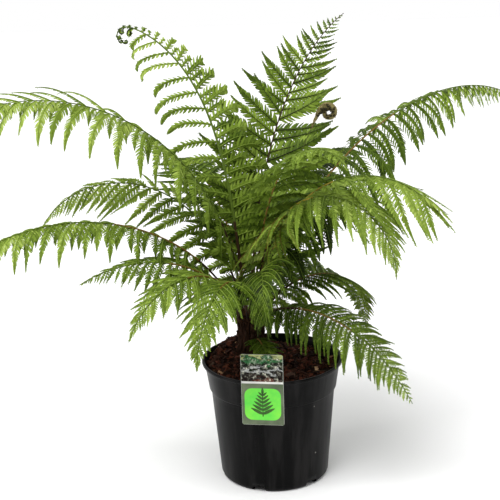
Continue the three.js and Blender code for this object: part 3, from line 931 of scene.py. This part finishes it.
hanging = dict(form="hanging", forward=0, every=3, slim=0.3, gap=3.7, leaf=(0.86, 1.15))
skirt = dict(spacing=9.4, twist=10, breadth=21, slim=0.18, gap=4, leaf=(0.84, 1.12))
farSide = dict(breadth=24, slim=0.18, leaf=(0.9, 1.2), tones=(2.4, 3.6), fine="green")
fronds = [  # name, whorl, the source's course, longest leaflets, their droop by hand, and what isn't usual
    row("curled_left", "inner", (150, 580, 84, -16, 3, 5), 106, (0.62, 0.6), girth=1.5, curl=300, tipCurl=90,
        end=0.978, spacing=13.2, crowding=1.15, peak=(1.1, 0.6), hands=(0.95, 0.76), lean=(70, 52),
        leans=(1, 1.1), forward=0, lift=(-0.6, 0.9), hang=(0, 1.8), every=2, short=(0, 0.7), form="slender",
        breadth=(20, 34), slim=0.3, narrowing=0.2, gap=6.2, leaf=(0.64, 1.05), tones=(3.8, 5.3), rib="green"),
    row("tall_back", "inner", (62, 580, 88, 16, 1.1, -7), 122, (0.16, -0.28), tilt=-30, spacing=16.5,
        crowding=1.22, peak=(0.62, 0.52), hands=(1, 1.1), lean=(82, 50), forward=0.3, hang=(0, 2.4), twist=4,
        breadth=33, slim=0.15, gap=4.9, leaf=(0.9, 1.15), fold=(0, 0.12), tones=(3.2, 3.6), rib="stalk",
        fine="husk"),
    row("long_left", "middle", (190, 632, 87, -22, 1.3, 0), 96, 0.92, **hanging, sections=3, tilt=8,
        spacing=9.5, crowding=1.5, hold=0.7, short=(0.44, 0.3), crest=(0.48, 0.42, 21, 0.45, 0.9),
        breadth=(36, 34), tones=(4.2, 5.7), rib="green"),
    row("low_left", "outer", (196, 500, 75, -30, 0.9, -4), 82, (0.92, 0.9), **hanging, tilt=6, stalk=0.2,
        spacing=8.4, crowding=1.9, hold=0.74, twist=18, short=(0.6, 0.55), breadth=(32, 30),
        tones=(2.6, 5.5)),
    row("left_back", "middle", (160, 464, 79, -61, 1.5, 29), 100, (0.5, 0.45), tilt=34, spacing=12.5,
        crowding=2.1, hands=(1, 0.45), lean=(68, 44), leans=(1, 0.66), breadth=21, slim=0.15,
        leaf=(0.88, 1.2), tones=(4.2, 5.1), rib="green"),
    row("left_low", "outer", (216, 322, 74, -30, 0.95, -26), 66, (0.7, 0.5), tilt=18, spacing=10,
        hands=(1, 0.8), leans=(1, 0.8), slim=0.17, leaf=(0.9, 1.2), tones=(2.6, 4)),
    row("left_front", "outer", (236, 323, 73, -68, 1.15, -20), 74, 0.5, **skirt, tilt=10, lean=(62, 44),
        tones=(2.6, 5.1)),
    row("front_left", "outer", (257, 326, 75, -88, 1.15, -14), 78, 0.5, **skirt, lean=(60, 44),
        tones=(1.9, 4.6)),
    row("front_small", "outer", (288, 238, 75, -93, 1.9, -23), 74, 0.72, tilt=-26, spacing=10, hold=0.84,
        hands=(0.95, 1.05), lean=(52, 38), lift=0.35, twist=24, slim=0.16, leaf=(0.92, 1.2), tones=(0.4, 2)),
    row("long_right", "middle", (15, 728, 70, -33, 1.3, 30), 98, (0.6, 0.9), sections=3, tilt=-10,
        spacing=12.5, crowding=1.3, peak=(0.75, 0.68), hold=0.96, hands=(0.95, 1), forward=0,
        lift=(0.32, 0.1), settle=1.5, hang=(0.3, 0.75), form="lance", breadth=(28, 32), slim=0.25, gap=5,
        leaf=(0.48, 0.82), tones=(0.8, 5.7), fine="green"),
    row("front_right", "middle", (312, 478, 83, -95, 1.7, 9), 122, (0.6, 0.62), sections=3, tilt=-10,
        lean=(66, 42), breadth=18, slim=0.14, gap=4, leaf=(0.8, 1.1), tones=(3.4, 5.7),
        rib=("orange", "green"), fine=("tan", "fine")),
    row("right_arch", "middle", (343, 502, 83, -60, 1.5, -25), 155, (0.66, 0.84), tilt=-4, end=0.86, past=125,
        spacing=19, crowding=1.15, peak=1.25, hold=0.86, lean=(62, 34), forward=0.5, lift=(-0.1, 0.15),
        twist=10, breadth=21, slim=0.14, gap=5.2, leaf=(0.76, 1.05), tones=(2.8, 5.1),
        rib=("orange", "green"), fine=("tan", "fine")),
    row("right_low_back", "outer", (14, 308, 64, -95, 0.95, 40), 98, (0.3, 0.5), stalk=0.03, spacing=7.6,
        crowding=1.5, peak=0.7, hands=(1, 0.86), lean=(72, 62), forward=0.05, lift=(0.4, 0.1), settle=1,
        hang=(0, 1.2), drape=0.55, twist=10, breadth=20, slim=0.2, narrowing=0.25, gap=3.8, leaf=(0.92, 1.2),
        tones=(2.8, 4.5), fine="green"),
    row("right_low", "outer", (328, 325, 64, -57, 0.5, -6), 84, (0.45, 0.8), tilt=-6, stalk=0.01, spacing=7.5,
        crowding=0.98, peak=(0.82, 0.94), hold=0.98, hands=(0.76, 0.95), lean=(76, 60), forward=0.12,
        lift=(0.05, 0), settle=-8, hang=(0, 1), drape=0.8, twist=18, breadth=(18, 20), slim=0.19,
        narrowing=0.45, gap=3.8, leaf=(0.8, 1.1), tones=(1.1, 4.9), fine="green"),
    row("soil_small", "foot", (288, 80, 35, -65, 1, 0), 36, 0.3, sections=1, spacing=6, breadth=16, slim=0.26,
        gap=3, leaf=(0.95, 1.2), tones=(2.2, 3.4), fine="green"),
    row("upper_front", "inner", (300, 457, 77, -41, 2.6, 3), 90, 0.6, stalk=0.26, spacing=13.5,
        hands=(1, 0.82), twist=24, breadth=20, slim=0.16, leaf=(0.85, 1.2), tones=(3, 4.6),
        fine=("green", "fine")),
    row("back_left", "middle", (114, 430, 74, -25, 1.2, 0), 94, 0.4, **farSide, stalk=0.2),
    row("back_right", "outer", (82, 430, 62, -40, 1.1, 0), 90, 0.5, **farSide),
    row("right_back", "middle", (50, 440, 80, -35, 1.4, 0), 90, 0.5, **farSide, stalk=0.22),
]
sectionNames = {1: [""], 2: ["_base", "_tip"], 3: ["_base", "_middle", "_tip"]}

leafTones = [  # from the shade to the light
    (30, 43, 5),
    (45, 62, 8),
    (63, 84, 13),
    (85, 107, 27),
    (108, 131, 41),
    (131, 154, 58),
    (156, 176, 82),
]
ribTones = {
    "husk": (30, 21, 14),
    "stalk": (58, 42, 24),
    "tan": (118, 92, 40),
    "green": (84, 104, 32),
    "fine": (124, 146, 56),
    "bud": (50, 64, 20),
    "orange": (150, 132, 48),
}
leafMaterials = [
    grownMaterial(f"leaf_tone_{k}", tone, (0.45, 0.65), 240, 0.3, 0.12) for k, tone in enumerate(leafTones)
]
ribMaterials = [
    grownMaterial(f"rib_{name}", tone, (0.4, 0.6), 180, 0.3, 0.15) for name, tone in ribTones.items()
]
ribSlots = {name: k for k, name in enumerate(ribTones)}


def ribCourse(frond):
    # the rib's points, and its own directions at each
    share = np.linspace(0, 1, ribRule["stations"] + 1)
    curled = np.maximum(0, (share - 1 + frond["curlShare"]) / frond["curlShare"])
    level = frond["rise"] + (frond["fall"] - frond["rise"]) * share ** frond["bend"]
    pitch = np.radians(level - frond["curl"] * curled ** frond["curlBend"])[:, None]
    plan = np.radians(frond["azimuth"] + frond["sweep"] * share)
    outward = np.stack([np.cos(plan), np.sin(plan), 0 * plan], 1)
    along = outward * np.cos(pitch) - down * np.sin(pitch)
    normal = -outward * np.sin(pitch) - down * np.cos(pitch)
    radius, depth = whorls[frond["whorl"]]
    start = trunkAxis(trunk["height"]) + radius * outward[0] + depth * down
    step = frond["length"] / ribRule["stations"]
    point = (start + step * np.vstack([np.zeros(3), np.cumsum(along[:-1], 0)])) * mm
    return dict(share=share, point=point, along=along, normal=normal, side=np.cross(along, normal))


def onCourse(course, share, key):
    return np.stack([np.interp(share, course["share"], course[key][:, k]) for k in range(3)], 1)


def directions(course, share):
    return [onCourse(course, share, key) for key in ("along", "side", "normal")]


def ribRadius(frond, share):
    return frond["girth"] * between((ribRule["base"], ribRule["tip"]), share ** ribRule["taper"]) * mm


def both(value):
    return np.broadcast_to(value, 2)


def byHand(value, right):
    return both(value)[right]


def growLeaflets(frond, course, draw):
    # each leaflet leaves the rib sideways and bends towards the ground
    rule, vary = leafletRule, leafletRule["vary"]
    blade = min(rule["reach"], frond["end"]) - frond["stalk"]
    pairs = max(5, round(blade * frond["length"] / frond["spacing"]))
    count = 2 * pairs
    hand = np.tile([-1.0, 1.0], pairs)
    right = (hand > 0).astype(int)
    place = np.repeat((np.arange(pairs) + 0.5) / pairs, 2) + hand * rule["stagger"] / pairs
    place += draw.normal(0, vary["place"] / pairs, count)
    t = 1 - (1 - np.clip(place, 0, 1)) ** frond["crowding"]
    share = frond["stalk"] + blade * t
    along, side, normal = map(unit, directions(course, share))
    side, normal = turnPair(side, normal, math.radians(frond["tilt"]))
    crest, crestLift, crestLean, crestDroop, crestReach = frond["crest"]
    crested = np.where(hand > 0, np.clip((t - crest) / rule["crestRise"], 0, 1), 0)
    lean = between(frond["lean"], t) * byHand(frond["leans"], right)
    lean = np.radians(between((lean, crestLean), crested) + draw.normal(0, vary["lean"], count))
    outward = np.cos(lean)[:, None] * along + (hand * np.sin(lean))[:, None] * side
    lift = byHand(frond["lift"], right) * (1 - frond["settle"] * t)
    outward = unit(outward + between((lift, crestLift), crested)[:, None] * normal)
    over = unit(normal - (normal * outward).sum(1, keepdims=True) * outward)
    swell = rule["start"] + (1 - rule["start"]) * t * frond["hold"]
    full = np.sin(np.pi * swell ** byHand(frond["peak"], right))
    length = frond["width"] * full * byHand(frond["hands"], right) * draw.uniform(*vary["length"], count)
    long = np.arange(count) // 2 % frond["every"] == 0
    shorter = np.where(long, 1, byHand(frond["short"], right))
    shorter = between((shorter, np.where(long, crestReach, 0)), crested)
    beyond = (1 - t) * blade * frond["length"] + frond["past"] - rule["crestShort"] * crested
    beyond = beyond / np.maximum(np.cos(lean), 0.2)
    bud = np.interp(t, rule["buds"], (0, 1)) * (frond["tipCurl"] > 0)
    length = np.maximum(np.minimum(length * shorter, beyond), rule["least"] + rule["budLength"] * bud)
    u = np.linspace(0, 1, rule["steps"] + 1)
    droop = between((byHand(frond["droop"], right), crestDroop), crested)
    drapedMost, most = rule["most"]
    droop = droop + frond["drape"] * (drapedMost - droop) * np.clip(1 - t / rule["draped"], 0, 1)
    droop = np.minimum(droop * draw.uniform(*vary["droop"], count), most)
    hangStart, hangBend = frond["hang"]
    hang = droop[:, None] * between((hangStart, 1), u ** hangBend)[None]
    heading = (1 - hang)[..., None] * outward[:, None] + hang[..., None] * down
    heading = unit(heading + frond["forward"] * (u ** 2)[None, :, None] * along[:, None])
    start = np.broadcast_to(outward[:, None], heading.shape)
    across = turnOnto(np.broadcast_to(np.cross(outward, over)[:, None], heading.shape), start, heading)
    over = turnOnto(np.broadcast_to(over[:, None], heading.shape), start, heading)
    roll = np.radians(draw.normal(0, frond["twist"], count))[:, None, None] * u[None, :, None]
    across, over = turnPair(across, over, roll)
    if frond["tipCurl"]:  # their ends roll in, more so near the frond's tip
        begin = 0.6 - 0.5 * bud[:, None]
        curl = np.maximum(0, (u[None] - begin) / (1 - begin)) ** 1.6 * np.radians(frond["tipCurl"])
        curl = (curl * (draw.uniform(0.3, 0.7, count) + t ** 3 + 2 * bud)[:, None])[..., None]
        over, heading = turnPair(over, heading, curl)
    step = (length * mm / rule["steps"])[:, None, None]
    travelled = np.cumsum(heading[:, 1:] * step, 1)
    point = onCourse(course, share, "point")[:, None] + np.pad(travelled, ((0, 0), (1, 0), (0, 0)))
    # leaves darker towards the frond's foot: painted shade of the crown's inside, and brighter tips as
    # painted light
    tone = between(frond["tones"], t) + draw.normal(0, vary["tone"], count) + rule["budTone"] * bud
    grown = dict(point=point, along=heading, across=across, over=over, length=length, tone=tone,
                 right=right, t=t, rolled=bud, crested=crested)
    return {key: value[shorter > 0.05] for key, value in grown.items()}


def toneSlot(tone):
    return np.clip(np.round(tone), 0, len(leafMaterials) - 1).astype(int)


def stripFaces(rows):
    # two faces side by side between each row of three points and the next
    return np.array([(k, k + 3, k + 4, k + 1) for row in range(rows) for k in (3 * row, 3 * row + 1)])


def growLeaves(frond, leaflets, draw):
    # rows of small leaves on both sides of each leaflet, as arrays: owner, place along it, hand
    rule, vary = leafRule, leafRule["vary"]
    length = leaflets["length"]
    size = np.minimum(1, length / (0.6 * frond["width"]))
    gap = frond["gap"] * (0.5 + 0.5 * size)
    half = byHand(frond["breadth"], leaflets["right"]) / 2 * (1 - frond["narrowing"] * leaflets["t"])
    slim = np.interp(leaflets["t"], (0.85, 1), (frond["slim"], rule["tipSlim"]))
    half = np.minimum(half, slim * length) * (1 - 0.6 * leaflets["crested"])
    count = np.maximum(rule["fewest"], np.round(length / gap)).astype(int)
    owner = np.repeat(np.arange(len(length)), 2 * count)
    places = [1 - (1 - (np.arange(n) + 0.5) / n) ** rule["crowding"] for n in count]
    v = np.repeat(np.concatenate(places), 2)
    hand = np.concatenate([np.tile([-1.0, 1.0], n) for n in count])
    leaves = len(v)
    v = v + hand * rule["stagger"] * gap[owner] / length[owner] + draw.normal(0, vary["place"], leaves)
    v = np.clip(v, *rule["span"])
    spot = v * leafletRule["steps"]
    low = np.minimum(spot.astype(int), leafletRule["steps"] - 1)
    part = (spot - low)[:, None]
    at = {key: leaflets[key][owner, low] * (1 - part) + leaflets[key][owner, low + 1] * part
          for key in ("point", "along", "across", "over")}
    along, across, over = unit(at["along"]), unit(at["across"]), unit(at["over"])
    form = np.array(leafletForms[frond["form"]])
    taper = np.interp(v, form[:, 0], form[:, 1])
    reach = np.maximum(half[owner] * taper, rule["shortest"]) * draw.uniform(*vary["reach"], leaves) * mm
    wide = np.interp(v, rule["joined"], frond["leaf"]) * gap[owner]
    wide = wide * draw.uniform(*vary["width"], leaves) * mm
    lean = np.radians(between(rule["lean"], v) + draw.normal(0, vary["lean"], leaves))
    sag = draw.uniform(*frond["fold"], leaves)[:, None]
    flat = np.cos(lean)[:, None] * along + (hand * np.sin(lean))[:, None] * across
    top, out = turnPair(over, flat, sag)
    slant = np.radians(hand * draw.normal(rule["slant"], vary["slant"], leaves))[:, None]
    beside, top = turnPair(np.cross(top, out), top, slant)  # each leaf lies over the next
    rows = []
    for u, broad in rule["outline"]:
        for x in ((-1, 0, 1) if broad else (0,)):
            bend = out * (u * reach)[:, None] + along * (rule["sweep"] * u * u * reach)[:, None]
            fold = top * ((-rule["sag"] * u * u) * reach - rule["keel"] * abs(x) * wide * broad)[:, None]
            rows.append(at["point"] + bend + fold + beside * (x * broad * wide)[:, None])
    points = np.stack(rows, 1)
    ids = points.shape[1] * np.arange(leaves)[:, None, None]
    full = len(rule["outline"]) - 2
    quads = stripFaces(full)
    tips = np.array([(k, 3 * full + 3, k + 1) for k in (3 * full, 3 * full + 1)])
    faces = (quads + ids).reshape(-1, 4).tolist() + (tips + ids).reshape(-1, 3).tolist()
    slot = toneSlot(leaflets["tone"][owner] + draw.normal(0, vary["tone"], leaves))
    slots = [np.repeat(slot, len(quads)), np.repeat(slot, len(tips))]
    # a darker sheet a little below the leaves of each leaflet, along its midrib: painted shade that shows in
    # the slits between the leaves
    u = np.linspace(0, 1, leafletRule["steps"] + 1)
    shadeWeb = half[:, None] * np.interp(u, form[:, 0], form[:, 1]) * np.interp(u, rule["joined"], rule["wing"])
    shadeWeb = (np.maximum(shadeWeb, 0.5) * mm)[..., None]
    below = shadeWeb * math.tan(sum(frond["fold"]) / 2 + 0.15)
    left, right = (leaflets["point"] + side * shadeWeb * leaflets["across"] - below * leaflets["over"]
                   for side in (-1, 1))
    edges = np.stack([left, leaflets["point"] - 0.2 * mm * leaflets["over"], right], 2)
    strip = stripFaces(leafletRule["steps"])
    first = points.size // 3 + edges[0].size // 3 * np.arange(len(length))[:, None, None]
    faces += (strip + first).reshape(-1, 4).tolist()
    # the sheet takes a lower tone, as painted shade
    slots.append(np.repeat(toneSlot(leaflets["tone"] + rule["paintedShadeTone"]), len(strip)))
    return np.vstack([points.reshape(-1, 3), edges.reshape(-1, 3)]), faces, np.concatenate(slots), leaves


def makeRibs(frond, course, leaflets):
    # the rib of the frond, and the midribs of its leaflets
    share = np.linspace(0, frond["end"], ribRule["rings"])
    path = onCourse(course, share, "point")[None]
    points, faces = sweepTubes(path, ribRadius(frond, share)[None], ribRule["sides"])
    station = np.repeat(share[:-1], ribRule["sides"])
    tones = np.array([ribSlots[name] for name in ("husk", "stalk", *both(frond["rib"]))])
    slots = tones[np.searchsorted(ribRule["changes"], station, side="right")]
    stations = leaflets["point"].shape[1]
    stout = np.minimum(1, leaflets["length"] / 50) * (1 + 7 * leaflets["rolled"])
    thick = np.linspace(*leafletRule["rib"], stations)[None] * stout[:, None] * mm
    paths = leaflets["point"] + leafletRule["raise"] * mm * leaflets["over"]
    points, faces = joinMeshes(points, faces, *sweepTubes(paths, thick, 3))
    low, high = (ribSlots[name] for name in both(frond["fine"]))
    tone = np.where(leaflets["t"] < leafletRule["change"], low, high)
    tone = np.where(leaflets["rolled"] > 0.5, ribSlots["bud"], tone)
    slots = np.concatenate([slots, tones[[0, -1]], np.repeat(tone, 3 * (stations - 1)), tone, tone])
    addGrown("ribs_" + frond["name"], points, faces, slots, ribMaterials)


leafletCount, leafCount = 0, 0
for number, frond in enumerate(fronds):
    draw = np.random.default_rng(100 + number)
    course = ribCourse(frond)
    leaflets = growLeaflets(frond, course, draw)
    makeRibs(frond, course, leaflets)
    points, faces, slots, leaves = growLeaves(frond, leaflets, draw)
    piece = addGrown("leaves_" + frond["name"], points, faces, slots, leafMaterials)
    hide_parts(*["frond_" + frond["name"] + part for part in sectionNames[frond["sections"]]])
    leafletCount += len(leaflets["length"])
    leafCount += leaves
print("fronds grown:", len(fronds), "with", leafletCount, "leaflets and", leafCount, "leaves")


# crozier: a young frond, still rolled up and covered in brown scales

crozier = dict(
    usual, whorl="inner", azimuth=28, length=413, rise=76, fall=60, bend=1, sweep=-22, girth=0.7, curl=500,
    curlShare=0.2, curlBend=1.5,
    swell=5.4,  # radius of the coil where it is thickest
    skinStart=0.76,  # share of the length where the coil's skin begins
    buds=15,  # pairs of young leaflets, with their places and sizes from first to last
    budPlace=(0.8, 0.985),
    budSize=(2.7, 1.2),
    scales=800,
    scaleLength=(2, 3.5),
    seed=77,
)
crozierMaterials = [
    grownMaterial("crozier_stalk", (74, 82, 30), (0.45, 0.65), 160, 0.3),
    mottledMaterial("crozier_skin", (152, 142, 92), (50, 43, 22), (0.5, 0.7), 150, 0.5),
    grownMaterial("crozier_bud", (40, 36, 16), (0.5, 0.7), 180, 0.3),
    grownMaterial("crozier_scale", (158, 140, 96), (0.5, 0.75), 200, 0.2),
    grownMaterial("crozier_scale_dark", (62, 48, 28), (0.5, 0.75), 200, 0.2),
]


def makeCoil(course, share, radius):
    sides = 12
    points, faces = sweepTubes(onCourse(course, share, "point")[None], radius[None], sides)
    slots = np.concatenate([np.repeat(share[:-1] > crozier["skinStart"], sides), [False, True]]).astype(int)
    # young leaflets sit rolled up in two rows along the coil
    s = np.repeat(np.linspace(*crozier["budPlace"], crozier["buds"]), 2)
    hand = np.tile([-1.0, 1.0], crozier["buds"])[:, None]
    along, side, normal = map(unit, directions(course, s))
    thick = np.interp(s, share, radius)[:, None]
    inside = np.where(np.arange(len(s)) // 2 % 2, 0.5, -0.2)[:, None]
    middle = onCourse(course, s, "point") + thick * (0.92 * hand * side - inside * normal)
    turn = np.linspace(0, 1.7 * math.pi, 10)[None, :, None]
    ring = np.cos(turn) * along[:, None] - np.sin(turn) * normal[:, None]
    size = np.interp(s, crozier["budPlace"], crozier["budSize"])[:, None] * mm
    paths = middle[:, None] + size[..., None] * (1 - 0.12 * turn) * ring
    budPoints, budFaces = sweepTubes(paths, size * np.linspace(0.62, 0.4, 10)[None], 6)
    points, faces = joinMeshes(points, faces, budPoints, budFaces)
    slots = np.concatenate([slots, np.full(len(budFaces), 2)])
    piece = addGrown("crozier_stem", points, faces, slots, crozierMaterials[:3])
    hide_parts("frond_crozier_base", "frond_crozier_tip")


def makeScales(course, share, radius):
    draw = np.random.default_rng(crozier["seed"])
    count = crozier["scales"]
    s = 1 - draw.uniform(0, 1, count) ** 1.3 * 0.26
    along, side, normal = map(unit, directions(course, s))
    angle = draw.uniform(0, math.tau, count)[:, None]
    out = np.cos(angle) * side + np.sin(angle) * normal
    thick = np.interp(s, share, radius)[:, None]
    long = (draw.uniform(*crozier["scaleLength"], count) * mm)[:, None]
    stations = np.linspace(0, 1, 4)[None, :, None]
    lay = unit(along * draw.uniform(0.4, 1, (count, 1)) + 0.55 * out)
    root = onCourse(course, s, "point") + 0.8 * thick * out
    paths = root[:, None] + stations * long[:, None] * lay[:, None]
    taper = np.broadcast_to((0.5 * (1 - 0.8 * stations[..., 0])) * mm, (count, 4))
    points, faces = sweepTubes(paths, taper, 3)
    slots = draw.integers(0, 2, count)
    slots = np.concatenate([np.repeat(slots, 9), slots, slots])
    addGrown("crozier_scales", points, faces, slots, crozierMaterials[3:])


crozierCourse = ribCourse(crozier)
crozierShare = np.linspace(0, 1, 201)
rolledUp = np.clip((crozierShare - 0.72) / 0.12, 0, 1) ** 1.5 * np.interp(crozierShare, (0.86, 1), (1, 0.36))
crozierRadius = np.maximum(ribRadius(crozier, crozierShare), crozier["swell"] * mm * rolledUp)
makeCoil(crozierCourse, crozierShare, crozierRadius)
makeScales(crozierCourse, crozierShare, crozierRadius)
print("crozier rolled")


# hairs on the crown and the foot of each stalk

hairs = {
    "perStalk": 70,
    "onCrown": 500,
    "length": (3, 9),
    "radius": 0.22,
    "reach": (0.005, 0.12),  # along the stalk
    "sway": 0.3,
    "seed": 31,
}


def makeHairs():
    draw = np.random.default_rng(hairs["seed"])
    roots, leans = [], []
    for frond in fronds + [crozier]:
        course = ribCourse(frond)
        s = draw.uniform(*hairs["reach"], hairs["perStalk"])
        along, side, normal = directions(course, s)
        angle = draw.uniform(0, math.tau, hairs["perStalk"])[:, None]
        out = np.cos(angle) * side + np.sin(angle) * normal
        roots.append(onCourse(course, s, "point") + 0.9 * ribRadius(frond, s)[:, None] * out)
        leans.append(unit(out + 1.2 * along * draw.uniform(0.3, 1, (hairs["perStalk"], 1))))
    angle = draw.uniform(0, math.tau, hairs["onCrown"])
    height = trunk["height"] * draw.uniform(0.5, 1, hairs["onCrown"]) ** 0.5
    off = np.stack([np.cos(angle), np.sin(angle), 0 * angle], 1)
    roots.append(aroundTrunk(height, angle, trunkRadius(height)) * mm)
    leans.append(unit(0.7 * off - down * draw.uniform(0.2, 1.2, (hairs["onCrown"], 1))))
    roots, leans = np.concatenate(roots), np.concatenate(leans)
    count = len(roots)
    long = (draw.uniform(*hairs["length"], count) * mm)[:, None, None]
    u = np.linspace(0, 1, 4)[None, :, None]
    sway = unit(draw.normal(0, 1, (count, 1, 3)))
    paths = roots[:, None] + long * (u * leans[:, None] + hairs["sway"] * u * u * sway)
    thick = np.broadcast_to(hairs["radius"] * (1 - 0.75 * u[..., 0]) * mm, (count, 4))
    addTubes("crown_hairs", paths, thick, 3, barkMaterials[3:])


makeHairs()
print("hairs set")

sizes = {"cad": cadBox, "visual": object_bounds()}
sizes = {name: [[float(v) for v in corner] for corner in box] for name, box in sizes.items()}
print("sizes:", sizes)
